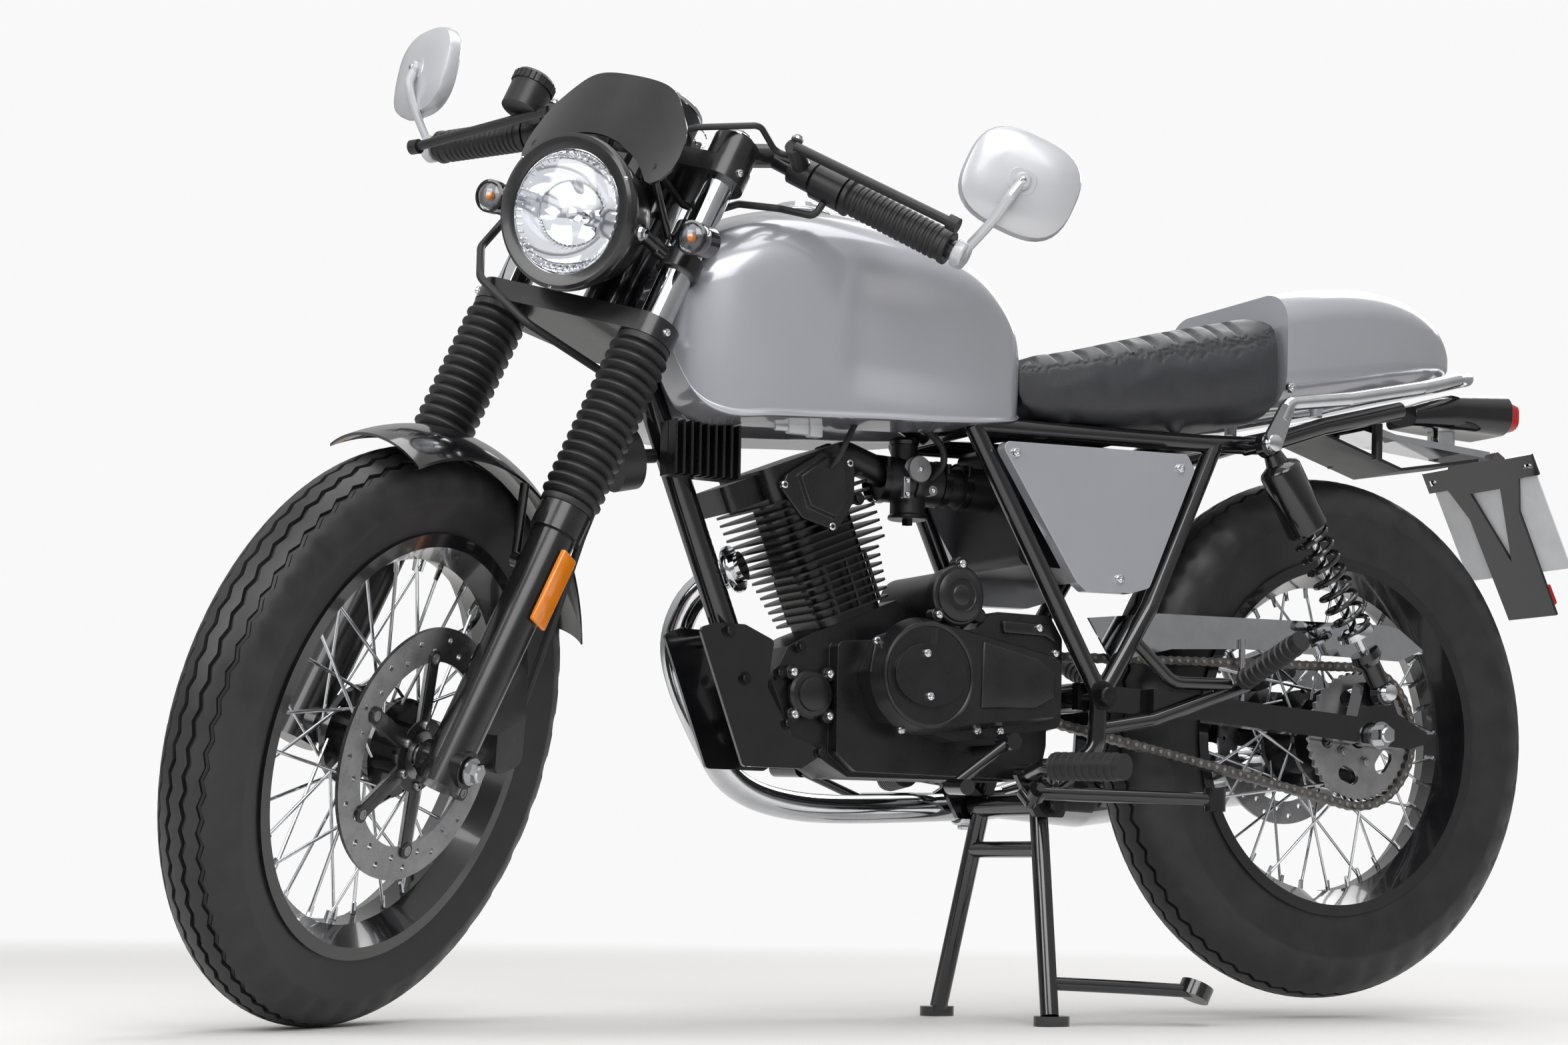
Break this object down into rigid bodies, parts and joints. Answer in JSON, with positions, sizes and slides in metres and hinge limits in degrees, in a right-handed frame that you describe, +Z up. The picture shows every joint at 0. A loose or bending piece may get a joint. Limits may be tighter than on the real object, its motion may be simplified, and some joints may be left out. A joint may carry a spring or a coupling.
{
  "type": "motorcycle",
  "caption": "Small cafe racer motorcycle with one air-cooled cylinder, wire wheels, a flat ribbed seat and a tail cowl, standing on its centre stand.",
  "frame": {"origin": "on the floor in the middle plane, midway between the two feet of the centre stand, at the mount stand_rest", "axes": "+X forward, +Y to the rider's left, +Z up"},
  "size_m": [1.965, 0.7239, 1.1862],
  "materials": {
    "black_plastic": "matte",
    "chrome": "polished",
    "engine_black": "satin",
    "fork_black": "satin",
    "frame_paint": "gloss",
    "gloss_black": "gloss",
    "lamp_glass": "clear",
    "plate_white": "matte",
    "red_lens": "gloss",
    "rubber": "matte",
    "seat_cover": "matte",
    "steel": "satin",
    "tank_paint": "gloss",
    "tyre_rubber": "matte"
  },
  "bodies": {
    "chassis": {"airbox": "black_plastic", "chain": "steel", "chain_guard": "chrome", "crankcase": "engine_black", "cylinder": "engine_black", "exhaust_header": "chrome", "foot_levers": "frame_paint", "footrests": "rubber", "frame_rear": "frame_paint", "frame_spine": "frame_paint", "fuel_cap": "chrome", "fuel_tank": "tank_paint", "grab_rail": "chrome", "head_cover": "engine_black", "horn": "black_plastic", "intake": "black_plastic", "left_engine_cover": "engine_black", "number_plate": "plate_white", "plate_bracket": "frame_paint", "rear_axle": "steel", "rear_caliper": "fork_black", "rear_mudguard": "black_plastic", "regulator": "engine_black", "seat": "seat_cover", "shocks": "frame_paint", "side_covers": "tank_paint", "silencer": "chrome", "starter": "engine_black", "swingarm": "frame_paint", "tail_bracket": "chrome", "tail_cowl": "tank_paint", "tail_lamp": "chrome", "tail_lens": "red_lens"},
    "fork": {"control_cables": "rubber", "flyscreen": "black_plastic", "fork_clamps": "fork_black", "fork_legs": "fork_black", "fork_tubes": "chrome", "front_axle": "steel", "front_caliper": "fork_black", "front_mudguard": "gloss_black", "gaiters": "rubber", "hand_controls": "black_plastic", "handlebars": "fork_black", "headlight": "fork_black", "headlight_lens": "lamp_glass", "instrument": "black_plastic", "mirrors": "tank_paint", "position_lamps": "gloss_black"},
    "front_wheel": {"front_disc": "steel", "front_rim_and_hub": "frame_paint", "front_spokes": "chrome", "front_tyre": "tyre_rubber"},
    "rear_wheel": {"rear_disc": "steel", "rear_rim_and_hub": "frame_paint", "rear_spokes": "chrome", "rear_sprocket": "steel", "rear_tyre": "tyre_rubber"},
    "centre_stand_leg": {"centre_stand": "frame_paint"},
    "side_stand_leg": {"side_stand": "frame_paint"}
  },
  "joints": [
    {"name": "steering", "type": "hinge", "parent": "chassis", "child": "fork", "pos_m": [0.77514, 0, 0.288], "axis": [-0.4274, 0, 0.9041], "range_deg": [-76, 0]},
    {"name": "front_wheel_spin", "type": "hinge", "parent": "fork", "child": "front_wheel", "pos_m": [0.80813, 0.0285, 0.30359], "axis": [-0.5566, 0.788, -0.2631], "continuous": true},
    {"name": "rear_wheel_spin", "type": "hinge", "parent": "chassis", "child": "rear_wheel", "pos_m": [-0.503, 0, 0.363], "axis": [0, 1, 0], "continuous": true},
    {"name": "centre_stand_fold", "type": "hinge", "parent": "chassis", "child": "centre_stand_leg", "pos_m": [-0.02, 0, 0.262], "axis": [0, 1, 0], "range_deg": [0, 72]},
    {"name": "side_stand_fold", "type": "hinge", "parent": "chassis", "child": "side_stand_leg", "pos_m": [0.018, 0.112, 0.273], "axis": [-0.2005, -0.8202, -0.5357], "range_deg": [0, 103]}
  ]
}
